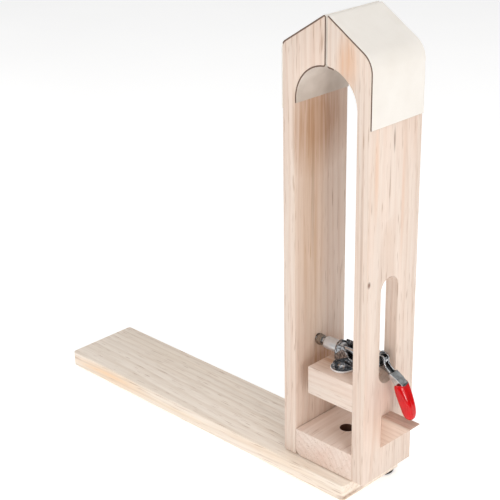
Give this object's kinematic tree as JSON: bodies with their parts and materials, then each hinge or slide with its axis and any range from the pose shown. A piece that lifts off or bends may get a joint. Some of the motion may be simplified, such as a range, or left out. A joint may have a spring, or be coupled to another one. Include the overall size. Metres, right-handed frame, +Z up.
{
  "type": "leather stitching pony",
  "caption": "Wooden stitching clamp: plank base, swivelling upright with two leather-faced jaws meeting in a pointed arch, and a red-handled toggle clamp that opens the left jaw.",
  "frame": {"origin": "centre of the footprint rectangle, on the floor under the rubber feet", "axes": "+Z up; +X along the plank towards the upright and the red handle; +Y across the plank, towards the upright's rear edges"},
  "size_m": [0.383, 0.072, 0.3899],
  "materials": {
    "pine": "planed pale pine, unvarnished, satin",
    "leather": "smooth cream leather with brown cut edges",
    "zinc": "zinc plated sheet and turned steel",
    "dark_bolt": "dark bronzed steel",
    "vinyl": "dipped glossy red vinyl",
    "rubber": "matt black rubber"
  },
  "bodies": {
    "base": {"base_plank": "pine", "foot_far_left": "rubber", "foot_far_right": "rubber", "foot_near_left": "rubber", "foot_near_right": "rubber", "swivel_bolt": "dark_bolt", "swivel_nut": "zinc", "swivel_spacer": "zinc", "swivel_washer": "zinc"},
    "yoke": {"lower_block": "pine", "clamp_block": "pine", "handle_rest": "pine", "right_jaw": "pine", "right_leather": "leather", "hinge_leaf_block": "zinc", "hinge_pin": "zinc", "hinge_screw_block_front": "zinc", "hinge_screw_block_back": "zinc", "clamp_frame": "zinc", "clamp_barrel": "zinc", "clamp_screw_front": "zinc", "clamp_screw_back": "zinc", "pivot_rivet_front": "zinc", "pivot_rivet_back": "zinc"},
    "moving_jaw": {"left_jaw": "pine", "left_leather": "leather", "hinge_leaf_jaw": "zinc", "hinge_screw_jaw_front": "zinc", "hinge_screw_jaw_back": "zinc"},
    "plunger": {"plunger_rod": "zinc", "plunger_pin": "zinc", "spindle_stud": "zinc", "spindle_nut_inner": "zinc", "spindle_washer": "zinc", "spindle_nut_outer": "zinc"},
    "link": {"toggle_link": "zinc"},
    "handle": {"lever": "zinc", "crank_pin": "zinc", "grip": "vinyl"}
  },
  "joints": [
    {"name": "yoke_swivel", "type": "hinge", "parent": "base", "child": "yoke", "pos_m": [0.1205, 0.0036, 0.017], "axis": [0, 0, 1], "continuous": true},
    {"name": "jaw_hinge", "type": "hinge", "parent": "yoke", "child": "moving_jaw", "pos_m": [0.0909, 0.0036, 0.0206], "axis": [0, -1, 0], "range_deg": [0, 6.6]},
    {"name": "plunger_slide", "type": "slide", "parent": "yoke", "child": "plunger", "axis": [-1, 0, 0], "range_m": [0, 0.01086]},
    {"name": "link_pivot", "type": "hinge", "parent": "plunger", "child": "link", "pos_m": [0.13968, 0.0011, 0.115], "axis": [0, 1, 0], "range_deg": [0, 6.8]},
    {"name": "handle_swing", "type": "hinge", "parent": "yoke", "child": "handle", "pos_m": [0.154, 0.0011, 0.118], "axis": [0, -1, 0], "range_deg": [0, 135.1]}
  ],
  "couplings": [
    {"joint": "plunger_slide", "follows": "jaw_hinge", "m_per_rad": 0.094191},
    {"joint": "link_pivot", "follows": "jaw_hinge", "ratio": 1.0242},
    {"joint": "handle_swing", "follows": "jaw_hinge", "ratio": 20.455}
  ]
}
